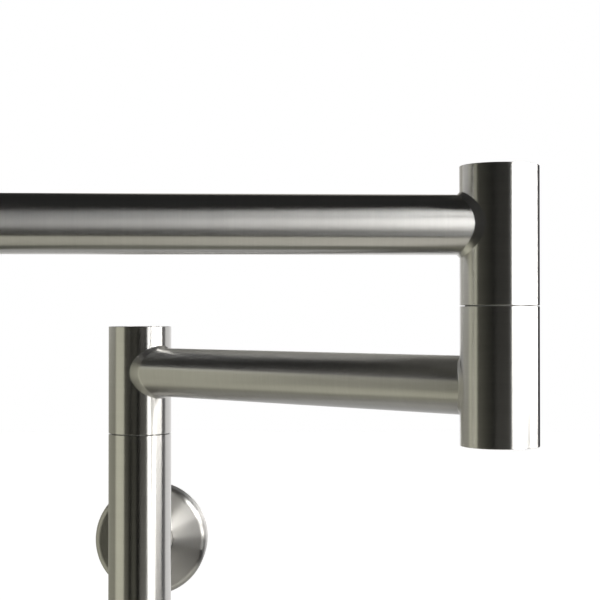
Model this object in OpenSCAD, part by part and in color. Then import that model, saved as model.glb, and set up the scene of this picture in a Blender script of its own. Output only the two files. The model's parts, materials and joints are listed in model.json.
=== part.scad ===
// Wall mounted pot filler: a double jointed swinging tap for a cooktop, half unfolded.
// The origin is the centre of the inlet's mouth in the wall plane. +Z is up and the room lies towards -Y.

/* [Bodies] */
// Outside diameter of every upright body and handle hub
body_d = 33.4; // [33:0.1:36]
// Height of each of the elbow's two bodies
elbow_h = 58.6; // [57:0.1:64]
// From either arm's axis to the far end of its elbow body
elbow_tail = 24.8; // [23:0.1:28]
// Height of the inner arm's body on the wall unit
socket_h = 56.9; // [56:0.1:62]
// From the inner arm's axis to the top of that body
socket_tail = 24.1; // [23:0.1:28]
// Chamfer that breaks the turned edges
edge_break = 0.25; // [0.2:0.05:0.6]

/* [Arms] */
// Outside diameter of the arm tubes
tube_d = 25.4; // [24:0.1:26]
// Wall of the arm tubes
tube_wall = 1.5; // [1.2:0.1:2]
// Inner arm, axis to axis
inner_len = 230; // [180:1:260]
// Outer arm, axis to axis
outer_len = 276; // [240:1:320]
// Direction of the inner arm at rest, in degrees from +X
inner_turn = -42.4; // [-80:0.1:-10]
// Direction of the outer arm at rest, in degrees from +X
outer_turn = 182.5; // [150:0.5:200]
// How far the polished weld runs along the tube, and over the body, at the sides of the joint
weld_side_leg = 3.2; // [1.5:0.1:4]
// The same at the top and the bottom of the joint
weld_top_leg = 1.2; // [0.8:0.1:3]

/* [Wall mount] */
// From the wall to the axis of the wall body
wall_reach = 65; // [58:1:80]
// From the stub's axis up to the top of the wall body
wall_body_rise = 66; // [60:0.5:80]
// Outside diameter of the wall flange
flange_d = 64; // [62:0.5:72]
// How far the wall flange stands off the wall
flange_h = 14; // [13:0.5:16]
// Tapping diameter of the inlet, for a 1/2 inch pipe thread
inlet_d = 18.6; // [18.4:0.1:18.8]
// Depth of the inlet's thread
inlet_depth = 14; // [12:0.5:16]
// Diameter of the mounting plate
plate_d = 54; // [53:0.5:56]
// Diameter of the circle of screw holes in the plate
plate_pcd = 43; // [42:0.5:44]
// Screw holes in the plate
plate_holes = 3; // [3:1:4]
// Diameter of a screw hole
plate_hole_d = 5.5; // [4.5:0.1:6]

/* [Swivels] */
// Visible gap in a swivel's seam
seam_gap = 0.4; // [0.3:0.05:0.6]
// Wall of a body round the swivel spigot
swivel_wall = 6.7; // [6.4:0.1:7.2]
// Height of the step from the spigot to its threaded shank
shank_step = 1; // [0.8:0.1:1.2]
// Length of the threaded shank
shank_len = 15; // [12:0.5:16]
// Wall of the spigot round its water way
spigot_wall = 4; // [3.5:0.1:5]

/* [Valves] */
// Wall of a body round the valve's thread
valve_wall = 6.2; // [5.9:0.1:6.5]
// From a valve body's arm or stub axis to the end that the handle turns on
valve_end = 34; // [33:0.5:36]
// Diameter of the valve stem
stem_d = 8; // [7.5:0.1:9]
// Teeth of the stem's spline
spline_teeth = 20; // [16:2:24]

/* [Handles] */
// Height of a handle hub
hub_h = 24; // [22:0.5:28]
// Diameter of the lever pin
lever_d = 8; // [7:0.5:9]
// How far the lever pin stands out of its hub
lever_len = 58; // [40:1:80]
// Direction of the wall handle's lever at rest, in degrees from +X
wall_lever_turn = 0; // [-90:5:90]
// Direction of the spout handle's lever at rest, in degrees from the outer arm
spout_lever_turn = 0; // [-90:5:90]

/* [Spout] */
// From the stub's axis up to the water outlet
outlet_rise = 36; // [34:0.5:60]
// Height of the aerator's visible rim
aerator_rim = 2.5; // [2:0.1:4]

/* [Hidden] */
$fn = 96;

// Finishes
brushed = "silver";
bright = "gainsboro";
brassy = "darkkhaki";
rubbery = "dimgray";
ceramic_white = "white";
plastic_white = "whitesmoke";

// Clearances, and the overrun of every cut
over = 1;
run_fit = 0.05; // radial, between pieces that turn on each other
seat_fit = 0.04; // radial, between pieces that are screwed or pressed together
face_fit = 0.05; // between faces that slide on each other
weld_lift = 0.02; // keeps the weld's flats off the round faces that it joins

// Tubes
tube_bore = tube_d - 2 * tube_wall;
port_lip = 2.2;
port_d = tube_bore - 2 * port_lip; // hole through a body's wall into the arm

// Swivel
spigot_d = body_d - 2 * swivel_wall;
shank_d = spigot_d + 2 * shank_step;
waterway_d = spigot_d - 2 * spigot_wall;
slip_rebate = 1.6;
slip_wall = 2.2; // wall of the body round the slip ring
slip_d = body_d - 2 * slip_wall;
groove_depth = 1.6;
groove_h = 2.2;
seal_d = groove_depth;
seal_shares = [0.3, 0.6]; // of the way from the seam to the chamber, for the two lower seals
chamber_wall = 4.2;
chamber_d = body_d - 2 * chamber_wall;
chamber_h = port_d;
washer_h = 1.2;
clip_h = 1.2;
clip_wide = 2.6;
clip_depth = 1;
clip_open = 38; // degrees of the retaining ring that are open
clip_eye_d = 1.4;
clip_eye_turn = 7; // degrees from the ring's end to its eye
key_share = 0.6; // of the spigot, for the key that turns it
key_af = key_share * spigot_d;
key_depth = 3.4;
plug_wall = 2.7;
plug_d = body_d - 2 * plug_wall;
plug_h = 4;
spigot_head = 1.1; // beyond the retaining ring
head_room = 1.15; // from the spigot's head to the plug
way_share = 0.75;
spigot_way_d = way_share * waterway_d;
// Rises from the seam to the arms' axes
elbow_rise = elbow_h - elbow_tail;
socket_rise = socket_h - socket_tail;
// Heights over the seam, in a body of the given height whose arm has the given rise
function bearing_top(h) = h - plug_h - head_room - spigot_head - clip_h - washer_h - 3 * face_fit;
function clip_place(h) = bearing_top(h) + washer_h + 3 * face_fit;
function spigot_top(h) = seam_gap + clip_place(h) + clip_h + spigot_head;
function seal_heights(h, rise) = concat(
  [for (share = seal_shares) seam_gap + share * (rise - chamber_h / 2)],
  [seam_gap + (rise + chamber_h / 2 + bearing_top(h)) / 2]
);

// Valve, measured from the arm or stub axis towards the handle
seat_place = 10; // depth of the seat behind the axis
valve_thread_d = body_d - 2 * valve_wall;
thread_from = 10;
thread_to = 19;
hex_step = 0.5;
hex_af = valve_thread_d + hex_step;
hex_h = 6.5;
hex_wall = 3.4;
hex_clear_d = body_d - 2 * hex_wall;
bonnet_wall = 2.2;
bonnet_d = body_d - 2 * bonnet_wall;
bonnet_h = 7.6;
cage_step = 1.5; // radial, from the thread in to the cage
cage_d = valve_thread_d - 2 * cage_step;
cage_wall = 1.4;
seat_seal_h = 2;
disc_h = 2.8;
disc_hole_share = 0.36;
window_share = 0.5;
window_w = window_share * cage_d;
window_h = 7.5;
fork_h = 2.4;
stem_bore_d = stem_d + 2 * run_fit;
stem_seal_place = 14.5;
stem_seal_d = 1.4;
collar_seal_d = 1.5;
cage_low = -seat_place + seat_seal_h;
cage_bore = cage_d - 2 * cage_wall;
fixed_disc_low = cage_low + cage_wall / 2;
turning_disc_low = fixed_disc_low + disc_h + face_fit;
fork_low = turning_disc_low + disc_h + face_fit;
window_low = fork_low + fork_h + face_fit;

// Handle, measured from the same axis
hub_from = valve_end + seam_gap;
hub_mid = hub_from + hub_h / 2;
stem_grip = 13.5; // length of the stem's spline in the hub
spline_step = 0.15; // radial, from the stem down to the spline's crests
spline_depth = 0.45;
screw_d = 4;
screw_len = 10;
screw_head_d = 7.4;
screw_head_h = 3.2;
screw_key_af = 3;
screw_seat = 3; // web of the hub under the screw's head
cap_wall = 6.7;
cap_d = body_d - 2 * cap_wall;
cap_h = 2.4;
lever_step = 1;
lever_shank_d = lever_d - 2 * lever_step;
spot_face = 0.6; // flat cut into the hub for the lever's shoulder
hub_web = 3.1; // between the stem and the lever's shank
lever_shank_len = body_d / 2 - spot_face - stem_d / 2 - hub_web;
lever_drop = 1.5; // keeps the lever's thread below the screw's head
lever_place = hub_mid - lever_drop;
hub_top = hub_from + hub_h;
spline_from = hub_from + face_fit;
stem_top = hub_from + stem_grip;
socket_top = stem_top + face_fit;
head_seat = socket_top + screw_seat;

// Wall side, measured from the wall towards the room
plate_h = 3;
collar_wall = 3.8;
collar_d = tube_d + 2 * collar_wall;
collar_h = 8.5;
grub_d = 3;
grub_len = 3.4;
grub_key_af = 1.5;
grub_place = 5.8;
grub_turns = [-60, -120];
flange_wall = 2;
flange_round = 3.5;
boss_h = 5;
boss_wall = 4.3;
boss_d = tube_d + 2 * boss_wall;
stub_slip = 0.15; // radial, of the flange on the stub
flange_bore = tube_d + 2 * stub_slip;
inlet_washer_h = 2;
inlet_shoulder = 0.7;
inlet_washer_d = inlet_d - 2 * inlet_shoulder;
washer_wide = 1.85;
washer_bore = inlet_washer_d - 2 * washer_wide;
strainer_shoulder = 1;
strainer_d = inlet_washer_d - 2 * strainer_shoulder;
strainer_h = 0.8;
strainer_seat = 2;
strainer_hole_d = 1.3;
strainer_pitch = 2.1;
strainer_ledge = 0.6;
inlet_way_d = strainer_d - 2 * strainer_ledge;

// Spout
spout_low = elbow_tail; // from the arm's axis down to the end of the spout's body
nipple_step = 2.2;
nipple_d = tube_bore - 2 * nipple_step;
nipple_room = 5.3; // from the nipple up to the valve's seat
nipple_len = spout_low - seat_place - nipple_room;
nipple_reach = 14;
nipple_seal_place = nipple_reach / 2;
nipple_wall = 3;
nipple_way_d = nipple_d - 2 * nipple_wall;
aerator_len = 12;
aerator_wall = 1.45;
aerator_bore = tube_bore - 2 * aerator_wall;
aerator_ledge = 1.25;
aerator_lip = aerator_bore - 2 * aerator_ledge;
aerator_lip_h = 1.2;
insert_h = 8;
insert_hole_d = 2.2;
insert_pitch = 3;
screen_h = 0.6;
screen_hole_d = 1;
screen_pitch = 1.6;
outlet_washer_h = 1.5;
outlet_washer_wide = 3.2;
outlet_washer_bore = tube_bore - 2 * outlet_washer_wide;

// Places
inner_z = wall_body_rise + seam_gap + socket_rise;
elbow_z = inner_z + elbow_rise; // the elbow's seam
outer_z = elbow_z + seam_gap + elbow_rise;
elbow_x = inner_len * cos(inner_turn);
elbow_y = inner_len * sin(inner_turn) - wall_reach;
spout_top = outer_z - spout_low - face_fit;
spout_len = spout_top - outlet_rise - aerator_rim;

// Weld: steps round the joint, along its hollow, and along its bed on the body
weld_steps = 72;
weld_arc = 5;
weld_bed = 3;
weld_pull_share = 0.6; // of the leg, how far the hollow follows each face
weld_tube_r = tube_d / 2 + weld_lift;
weld_body_r = body_d / 2 + weld_lift;

// A turned bar on Z with broken edges
module bar(d, h, brk = edge_break) {
  rotate_extrude()
    polygon([
      [0, 0], [d / 2 - brk, 0], [d / 2, brk], [d / 2, h - brk], [d / 2 - brk, h], [0, h]
    ]);
}

// A hole on Z from one height to another, with overruns that are asked for
module bore(d, from, to, under = 0, above = 0) {
  translate([0, 0, from - under])
    cylinder(d = d, h = to - from + under + above);
}

// A plain ring on Z
module ring(outer, inner, h) {
  difference() {
    cylinder(d = outer, h = h);
    bore(inner, 0, h, over, over);
  }
}

// A round seal whose inside lies on the given diameter
module seal(inner, thick) {
  rotate_extrude()
    translate([inner / 2 + thick / 2, 0])
      circle(d = thick, $fn = 32);
}

// A hexagonal prism on Z, by the size across its flats
module hex_bar(af, h) {
  cylinder(d = af / cos(30), h = h, $fn = 6);
}

// Frames of the assembly
module on_wall_body() {
  translate([0, -wall_reach, 0]) children();
}

module on_stub() {
  rotate([90, 0, 0]) children();
}

module on_inner_arm() {
  translate([0, -wall_reach, inner_z])
    rotate([0, 0, inner_turn]) children();
}

module on_outer_arm() {
  translate([elbow_x, elbow_y, outer_z])
    rotate([0, 0, outer_turn]) children();
}

module on_wall_valve() {
  on_wall_body() mirror([0, 0, 1]) children();
}

module on_spout_valve() {
  on_outer_arm() translate([outer_len, 0, 0]) children();
}

module on_wall_seam() {
  translate([0, -wall_reach, wall_body_rise]) children();
}

module on_elbow_seam() {
  translate([elbow_x, elbow_y, elbow_z]) children();
}

// Polished weld of a tube on X that meets a body on Z. Its toes lie one leg away from the joint's corner,
// and between them it hollows smoothly out of the tube's face and into the body's.
function weld_leg(a) = weld_side_leg * pow(cos(a), 2) + weld_top_leg * pow(sin(a), 2);
function weld_cope(a) = sqrt(pow(weld_body_r, 2) - pow(weld_tube_r * cos(a), 2));
function weld_corner(a) = [weld_cope(a), weld_tube_r * cos(a), weld_tube_r * sin(a)];
// Away from the tube, on the body's face as if it were rolled out flat
function weld_away(a) =
  let (v = [weld_tube_r * cos(a), weld_tube_r * sin(a) * weld_body_r / weld_cope(a)])
  v / norm(v);
function weld_turn(a, share = 1) =
  asin(weld_tube_r * cos(a) / weld_body_r) + share * weld_leg(a) * weld_away(a).x / weld_body_r * 180 / PI;
function weld_tube_toe(a) = weld_corner(a) + [weld_leg(a), 0, 0];
// From the corner, share 0, over the body's round face to the toe, share 1
function weld_on_body(a, share) = [
  weld_body_r * cos(weld_turn(a, share)),
  weld_body_r * sin(weld_turn(a, share)),
  weld_tube_r * sin(a) + share * weld_leg(a) * weld_away(a).y
];
function weld_body_lean(a) = [
  weld_away(a).x * sin(weld_turn(a)),
  -weld_away(a).x * cos(weld_turn(a)),
  -weld_away(a).y
];
function weld_hollow(a, t) =
  let (
    pull = weld_pull_share * weld_leg(a),
    tube_toe = weld_tube_toe(a),
    body_toe = weld_on_body(a, 1)
  )
  pow(1 - t, 3) * tube_toe
  + 3 * pow(1 - t, 2) * t * (tube_toe - [pull, 0, 0])
  + 3 * (1 - t) * pow(t, 2) * (body_toe + pull * weld_body_lean(a))
  + pow(t, 3) * body_toe;
function weld_section(a) = concat(
  [for (i = [0:weld_arc]) weld_hollow(a, i / weld_arc)],
  [for (i = [weld_bed - 1:-1:0]) weld_on_body(a, i / weld_bed)]
);

module weld() {
  count = weld_arc + 1 + weld_bed;
  points = [for (s = [0:weld_steps - 1]) each weld_section(360 * s / weld_steps)];
  faces = [
    for (s = [0:weld_steps - 1], i = [0:count - 1])
      let (
        here = s * count,
        next = (s + 1) % weld_steps * count,
        k = (i + 1) % count
      )
      each [[here + i, next + i, next + k], [here + i, next + k, here + k]]
  ];
  polyhedron(points = points, faces = faces, convexity = 6);
}

// A tube on X between two upright bodies, coped to both
module coped_tube(len) {
  difference() {
    rotate([0, 90, 0]) cylinder(d = tube_d, h = len);
    translate([-over, 0, 0]) rotate([0, 90, 0]) cylinder(d = tube_bore, h = len + 2 * over);
    for (x = [0, len])
      translate([x, 0, -tube_d / 2 - over]) cylinder(d = body_d, h = tube_d + 2 * over);
  }
}

// The hole from a body's chamber out towards +X
module port(d = port_d) {
  rotate([0, 90, 0]) cylinder(d = d, h = body_d / 2 + over);
}

// Upper half of a swivel: it turns on the spigot. Z is 0 at its arm's axis, and the arm leaves towards +X.
module swivel_body(h, rise) {
  difference() {
    translate([0, 0, -rise]) bar(body_d, h);
    bore(spigot_d + 2 * run_fit, -rise, bearing_top(h) - rise, over, over);
    bore(chamber_d, -chamber_h / 2, chamber_h / 2);
    bore(chamber_d, bearing_top(h) - rise, h - rise, 0, over);
    bore(plug_d, h - rise - plug_h, h - rise, 0, over);
    port();
  }
}

// Rebate and threaded hole in the lower half of a swivel, from its seam downwards
module spigot_hole(depth) {
  bore(slip_d, -slip_rebate, 0, 0, over);
  bore(shank_d + 2 * seat_fit, -depth, 0);
}

// Pressed plug in the end of a swivel body, its outer face at Z 0 and the rest below
module end_plug() {
  translate([0, 0, -plug_h]) bar(plug_d - 2 * seat_fit, plug_h);
}

// Hollow spigot, Z 0 at the lower body's seam face
module swivel_spigot(h, rise) {
  way_top = seam_gap + rise + chamber_h / 2;
  difference() {
    union() {
      bore(shank_d, -slip_rebate - shank_len, -slip_rebate);
      bore(spigot_d, -slip_rebate, spigot_top(h));
    }
    bore(waterway_d, -slip_rebate - shank_len, way_top, over, 0);
    for (turn = [0, 90])
      rotate([0, 0, turn]) translate([0, 0, seam_gap + rise]) rotate([0, 90, 0])
        cylinder(d = spigot_way_d, h = spigot_d + 2 * over, center = true);
    for (z = seal_heights(h, rise)) translate([0, 0, z - groove_h / 2])
      difference() {
        cylinder(d = spigot_d + over, h = groove_h);
        cylinder(d = spigot_d - 2 * groove_depth, h = groove_h);
      }
    translate([0, 0, seam_gap + clip_place(h) - face_fit])
      difference() {
        cylinder(d = spigot_d + over, h = clip_h + 2 * face_fit);
        cylinder(d = spigot_d - 2 * clip_depth, h = clip_h + 2 * face_fit);
      }
    translate([0, 0, spigot_top(h) - key_depth]) hex_bar(key_af, key_depth + over);
  }
}

module swivel_seals(h, rise) {
  for (z = seal_heights(h, rise)) translate([0, 0, z])
    seal(spigot_d - 2 * groove_depth, seal_d);
}

module slip_ring() {
  translate([0, 0, -slip_rebate])
    ring(slip_d - 2 * run_fit, spigot_d + 2 * run_fit, slip_rebate + seam_gap - face_fit);
}

module thrust_washer(h) {
  translate([0, 0, seam_gap + bearing_top(h) + face_fit])
    ring(chamber_d - 2 * run_fit - 2 * seat_fit, spigot_d + 2 * run_fit, washer_h);
}

// Open retaining ring with an eye in each end for the pliers
module retaining_ring(h) {
  groove_r = spigot_d / 2 - clip_depth + seat_fit;
  mid_r = groove_r + clip_wide / 2;
  translate([0, 0, seam_gap + clip_place(h)])
    difference() {
      rotate([0, 0, clip_open / 2]) rotate_extrude(angle = 360 - clip_open)
        translate([groove_r, 0]) square([clip_wide, clip_h]);
      for (side = [-1, 1])
        rotate([0, 0, side * (clip_open / 2 + clip_eye_turn)]) translate([mid_r, 0, -over])
          cylinder(d = clip_eye_d, h = clip_h + 2 * over, $fn = 24);
    }
}

// The space for a valve: seat, thread, hexagon and bonnet, and the water way behind the seat
module valve_hole(way_to) {
  bore(waterway_d, way_to, -seat_place, 0, over);
  bore(valve_thread_d + 2 * seat_fit, -seat_place, thread_to, 0, over);
  bore(hex_clear_d, thread_to, valve_end, 0, over);
  bore(bonnet_d, valve_end - bonnet_h, valve_end, 0, over);
}

// Cartridge: cage with two windows, threaded collar and hexagon
module cartridge() {
  difference() {
    union() {
      bore(cage_d, cage_low, thread_from);
      bore(valve_thread_d, thread_from, thread_to);
      translate([0, 0, thread_to]) hex_bar(hex_af, hex_h);
    }
    bore(waterway_d, cage_low, fixed_disc_low, over, over);
    bore(cage_bore, fixed_disc_low, thread_from - cage_wall);
    bore(stem_bore_d, thread_from - cage_wall, thread_to + hex_h, over, over);
    translate([-cage_d / 2 - over, -window_w / 2, window_low])
      cube([cage_d + 2 * over, window_w, window_h]);
    translate([0, 0, stem_seal_place - stem_seal_d])
      cylinder(d = stem_d + 2 * stem_seal_d, h = 2 * stem_seal_d);
    translate([0, 0, thread_to - collar_seal_d])
      difference() {
        cylinder(d = valve_thread_d + over, h = collar_seal_d);
        cylinder(d = valve_thread_d - collar_seal_d, h = collar_seal_d);
      }
  }
}

// A lapped disc with two sector ways, Z 0 at its lower face
module valve_disc(d, turn) {
  way_r = disc_hole_share * d;
  difference() {
    cylinder(d = d, h = disc_h);
    for (side = [0, 180])
      rotate([0, 0, turn + side]) translate([way_r / 2 + cage_wall / 2, 0, -over])
        cylinder(d = way_r, h = disc_h + 2 * over, $fn = 32);
  }
}

module fixed_disc() {
  translate([0, 0, fixed_disc_low]) valve_disc(cage_bore - 2 * seat_fit, 0);
}

module turning_disc() {
  translate([0, 0, turning_disc_low]) valve_disc(cage_bore - 4 * run_fit, 90);
}

// Seat seal and collar seal, two rings
module valve_seals() {
  translate([0, 0, -seat_place]) ring(cage_d, waterway_d + 2 * seat_fit, seat_seal_h);
  translate([0, 0, thread_to - collar_seal_d / 2])
    ring(valve_thread_d, valve_thread_d - collar_seal_d + 2 * seat_fit, collar_seal_d / 2);
}

module bonnet() {
  translate([0, 0, valve_end - bonnet_h])
    difference() {
      bar(bonnet_d - 2 * seat_fit, bonnet_h);
      bore(stem_d + 4 * run_fit, 0, bonnet_h, over, over);
    }
}

// Outline of the spline, grown by a clearance
function spline(d, grow) = [
  for (i = [0:2 * spline_teeth - 1])
    let (a = 180 * i / spline_teeth, r = d / 2 - spline_step + grow - (i % 2) * spline_depth)
    [r * cos(a), r * sin(a)]
];

module valve_stem() {
  difference() {
    union() {
      bore(cage_bore - 4 * run_fit, fork_low, fork_low + fork_h);
      bore(stem_d, fork_low + fork_h, spline_from);
      translate([0, 0, spline_from]) linear_extrude(stem_top - spline_from) polygon(spline(stem_d, 0));
    }
    translate([0, 0, stem_seal_place - stem_seal_d / 2])
      difference() {
        cylinder(d = stem_d + over, h = stem_seal_d);
        cylinder(d = stem_d - stem_seal_d, h = stem_seal_d);
      }
    bore(screw_d + 2 * seat_fit, stem_top - screw_len, stem_top, 0, over);
  }
}

module stem_seal() {
  translate([0, 0, stem_seal_place])
    seal(stem_d - stem_seal_d + 4 * seat_fit, stem_seal_d - 2 * seat_fit);
}

// Hub: turned from bar, with a splined socket, a screw from its top and a flat for the lever
module handle_hub(turn) {
  difference() {
    translate([0, 0, hub_from]) bar(body_d, hub_h);
    translate([0, 0, hub_from - over])
      linear_extrude(socket_top - hub_from + over) polygon(spline(stem_d, seat_fit));
    bore(screw_d + 4 * seat_fit, socket_top, head_seat, over, over);
    bore(screw_head_d + 4 * seat_fit, head_seat, hub_top, 0, over);
    bore(cap_d, hub_top - cap_h, hub_top, 0, over);
    rotate([0, 0, turn]) translate([body_d / 2 - spot_face, 0, lever_place]) rotate([0, 90, 0]) {
      bore(lever_shank_d + 2 * seat_fit, -lever_shank_len, 0, seat_fit, over);
      bore(lever_d + 4 * seat_fit, 0, spot_face, 0, over);
    }
  }
}

module handle_lever(turn) {
  r = lever_d / 2;
  tip = lever_len + spot_face;
  rotate([0, 0, turn]) translate([body_d / 2 - spot_face, 0, lever_place]) rotate([0, 90, 0]) {
    bore(lever_shank_d, -lever_shank_len, 0);
    rotate_extrude()
      polygon(concat(
        [[0, 0], [r, 0]],
        [for (a = [0:10:90]) [r * cos(a), tip - r + r * sin(a)]]
      ));
  }
}

module handle_screw() {
  difference() {
    union() {
      bore(screw_head_d, head_seat, head_seat + screw_head_h);
      bore(screw_d, stem_top - screw_len + face_fit, head_seat);
    }
    translate([0, 0, head_seat + screw_head_h / 2]) hex_bar(screw_key_af, screw_head_h);
  }
}

module handle_cap() {
  translate([0, 0, hub_top - cap_h + face_fit]) bar(cap_d - 2 * seat_fit, cap_h - face_fit);
}

// A plate with holes on a hexagonal grid that fit inside a circle
module pierced_disc(d, h, hole_d, pitch) {
  reach = d / 2 - hole_d;
  rows = floor(reach / (pitch * sin(60)));
  difference() {
    cylinder(d = d, h = h);
    for (row = [-rows:rows], i = [-rows - 1:rows + 1])
      let (x = (i + abs(row % 2) / 2) * pitch, y = row * pitch * sin(60))
      if (norm([x, y]) <= reach)
        translate([x, y, -over]) cylinder(d = hole_d, h = h + 2 * over, $fn = 16);
  }
}

// Wall unit
module mounting_plate() {
  color(bright) on_stub() difference() {
    union() {
      cylinder(d = plate_d, h = plate_h);
      cylinder(d = collar_d, h = collar_h);
    }
    bore(tube_d + 2 * seat_fit, 0, collar_h, over, over);
    for (i = [0:plate_holes - 1])
      rotate([0, 0, 90 + 360 * i / plate_holes]) translate([plate_pcd / 2, 0, 0])
        bore(plate_hole_d, 0, plate_h, over, over);
    for (turn = grub_turns) rotate([0, 0, -turn]) translate([0, 0, grub_place]) rotate([0, 90, 0])
      cylinder(d = grub_d + 2 * seat_fit, h = collar_d / 2 + over);
  }
}

module plate_grub_screws() {
  color(rubbery) on_stub()
    for (turn = grub_turns) rotate([0, 0, -turn]) translate([tube_d / 2 + face_fit, 0, grub_place])
      rotate([0, 90, 0]) difference() {
        cylinder(d = grub_d, h = grub_len);
        translate([0, 0, grub_len / 2]) hex_bar(grub_key_af, grub_len);
      }
}

module wall_flange() {
  r = flange_d / 2;
  round_r = r - flange_round;
  round_h = flange_h - flange_round;
  boss_mid = flange_h - boss_h / 2;
  color(brushed) on_stub() difference() {
    rotate_extrude() polygon(concat(
      [[r - flange_wall, 0], [r, 0]],
      [for (a = [0:9:90]) [round_r + flange_round * cos(a), round_h + flange_round * sin(a)]],
      [
        [flange_bore / 2, flange_h], [flange_bore / 2, flange_h - boss_h], [boss_d / 2, flange_h - boss_h],
        [boss_d / 2, flange_h - flange_wall], [round_r, flange_h - flange_wall], [r - flange_wall, round_h]
      ]
    ));
    bore(flange_bore + 2 * groove_depth, boss_mid - groove_h / 2, boss_mid + groove_h / 2);
  }
}

module flange_seal() {
  color(rubbery) on_stub() translate([0, 0, flange_h - boss_h / 2])
    seal(tube_d + 2 * seat_fit, groove_depth);
}

module wall_stub() {
  color(brushed) on_stub() difference() {
    cylinder(d = tube_d, h = wall_reach);
    bore(inlet_d, 0, inlet_depth, over, 0);
    bore(inlet_washer_d, inlet_depth, inlet_depth + inlet_washer_h, over, 0);
    bore(strainer_d, inlet_depth, inlet_depth + inlet_washer_h + strainer_seat);
    bore(inlet_way_d, inlet_depth, wall_reach, 0, over);
    translate([0, 0, wall_reach]) rotate([90, 0, 0])
      cylinder(d = body_d, h = tube_d + 2 * over, center = true);
  }
}

module inlet_washer() {
  color(rubbery) on_stub() translate([0, 0, inlet_depth + face_fit])
    ring(inlet_washer_d - 2 * seat_fit, washer_bore, inlet_washer_h - 2 * face_fit);
}

module inlet_strainer() {
  color(bright) on_stub() translate([0, 0, inlet_depth + inlet_washer_h + strainer_seat - strainer_h])
    pierced_disc(strainer_d - 2 * seat_fit, strainer_h, strainer_hole_d, strainer_pitch);
}

module stub_weld() {
  color(brushed) on_wall_body() rotate([0, 0, 90]) weld();
}

module wall_body() {
  color(brushed) on_wall_body() difference() {
    translate([0, 0, -valve_end]) bar(body_d, wall_body_rise + valve_end);
    mirror([0, 0, 1]) valve_hole(-wall_body_rise + slip_rebate + shank_len - over);
    translate([0, 0, wall_body_rise]) spigot_hole(slip_rebate + shank_len);
    rotate([0, 0, 90]) port(inlet_way_d);
  }
}

module wall_cartridge() { color(brassy) on_wall_valve() cartridge(); }
module wall_fixed_disc() { color(ceramic_white) on_wall_valve() fixed_disc(); }
module wall_valve_seals() { color(rubbery) on_wall_valve() valve_seals(); }
module wall_bonnet() { color(brushed) on_wall_valve() bonnet(); }
module wall_swivel_spigot() { color(bright) on_wall_seam() swivel_spigot(socket_h, socket_rise); }
module wall_swivel_seals() { color(rubbery) on_wall_seam() swivel_seals(socket_h, socket_rise); }
module wall_slip_ring() { color(plastic_white) on_wall_seam() slip_ring(); }
module wall_thrust_washer() { color(plastic_white) on_wall_seam() thrust_washer(socket_h); }
module wall_retaining_ring() { color(bright) on_wall_seam() retaining_ring(socket_h); }

// Wall handle
module wall_valve_stem() { color(brassy) on_wall_valve() valve_stem(); }
module wall_stem_seal() { color(rubbery) on_wall_valve() stem_seal(); }
module wall_turning_disc() { color(ceramic_white) on_wall_valve() turning_disc(); }
module wall_handle_hub() { color(brushed) on_wall_valve() handle_hub(wall_lever_turn); }
module wall_handle_lever() { color(brushed) on_wall_valve() handle_lever(wall_lever_turn); }
module wall_handle_screw() { color(bright) on_wall_valve() handle_screw(); }
module wall_handle_cap() { color(brushed) on_wall_valve() handle_cap(); }

// Inner arm
module inner_arm_tube() {
  color(brushed) on_inner_arm() coped_tube(inner_len);
}

module inner_arm_wall_socket() {
  color(brushed) on_inner_arm() swivel_body(socket_h, socket_rise);
}

module inner_arm_elbow_socket() {
  color(brushed) on_inner_arm() translate([inner_len, 0, 0]) difference() {
    translate([0, 0, elbow_rise - elbow_h]) bar(body_d, elbow_h);
    translate([0, 0, elbow_rise]) spigot_hole(elbow_h - plug_h);
    bore(plug_d, elbow_rise - elbow_h, elbow_rise - elbow_h + plug_h, over, 0);
    rotate([0, 0, 180]) port();
  }
}

module inner_arm_welds() {
  color(brushed) on_inner_arm() {
    weld();
    translate([inner_len, 0, 0]) rotate([0, 0, 180]) weld();
  }
}

module inner_arm_end_plugs() {
  color(brushed) on_inner_arm() {
    translate([0, 0, socket_h - socket_rise]) end_plug();
    translate([inner_len, 0, elbow_rise - elbow_h]) mirror([0, 0, 1]) end_plug();
  }
}

module elbow_swivel_spigot() { color(bright) on_elbow_seam() swivel_spigot(elbow_h, elbow_rise); }
module elbow_swivel_seals() { color(rubbery) on_elbow_seam() swivel_seals(elbow_h, elbow_rise); }
module elbow_slip_ring() { color(plastic_white) on_elbow_seam() slip_ring(); }
module elbow_thrust_washer() { color(plastic_white) on_elbow_seam() thrust_washer(elbow_h); }
module elbow_retaining_ring() { color(bright) on_elbow_seam() retaining_ring(elbow_h); }

// Outer arm
module outer_arm_tube() {
  color(brushed) on_outer_arm() coped_tube(outer_len);
}

module outer_arm_elbow_socket() {
  color(brushed) on_outer_arm() swivel_body(elbow_h, elbow_rise);
}

module outer_arm_spout_socket() {
  color(brushed) on_spout_valve() difference() {
    translate([0, 0, -spout_low]) bar(body_d, spout_low + valve_end);
    valve_hole(-spout_low);
    bore(nipple_d + 2 * seat_fit, -spout_low, -spout_low + nipple_len, over, 0);
    rotate([0, 0, 180]) port(inlet_way_d);
  }
}

module outer_arm_welds() {
  color(brushed) on_outer_arm() {
    weld();
    translate([outer_len, 0, 0]) rotate([0, 0, 180]) weld();
  }
}

module outer_arm_end_plug() {
  color(brushed) on_outer_arm() translate([0, 0, elbow_h - elbow_rise]) end_plug();
}

module spout_cartridge() { color(brassy) on_spout_valve() cartridge(); }
module spout_fixed_disc() { color(ceramic_white) on_spout_valve() fixed_disc(); }
module spout_valve_seals() { color(rubbery) on_spout_valve() valve_seals(); }
module spout_bonnet() { color(brushed) on_spout_valve() bonnet(); }

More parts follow.
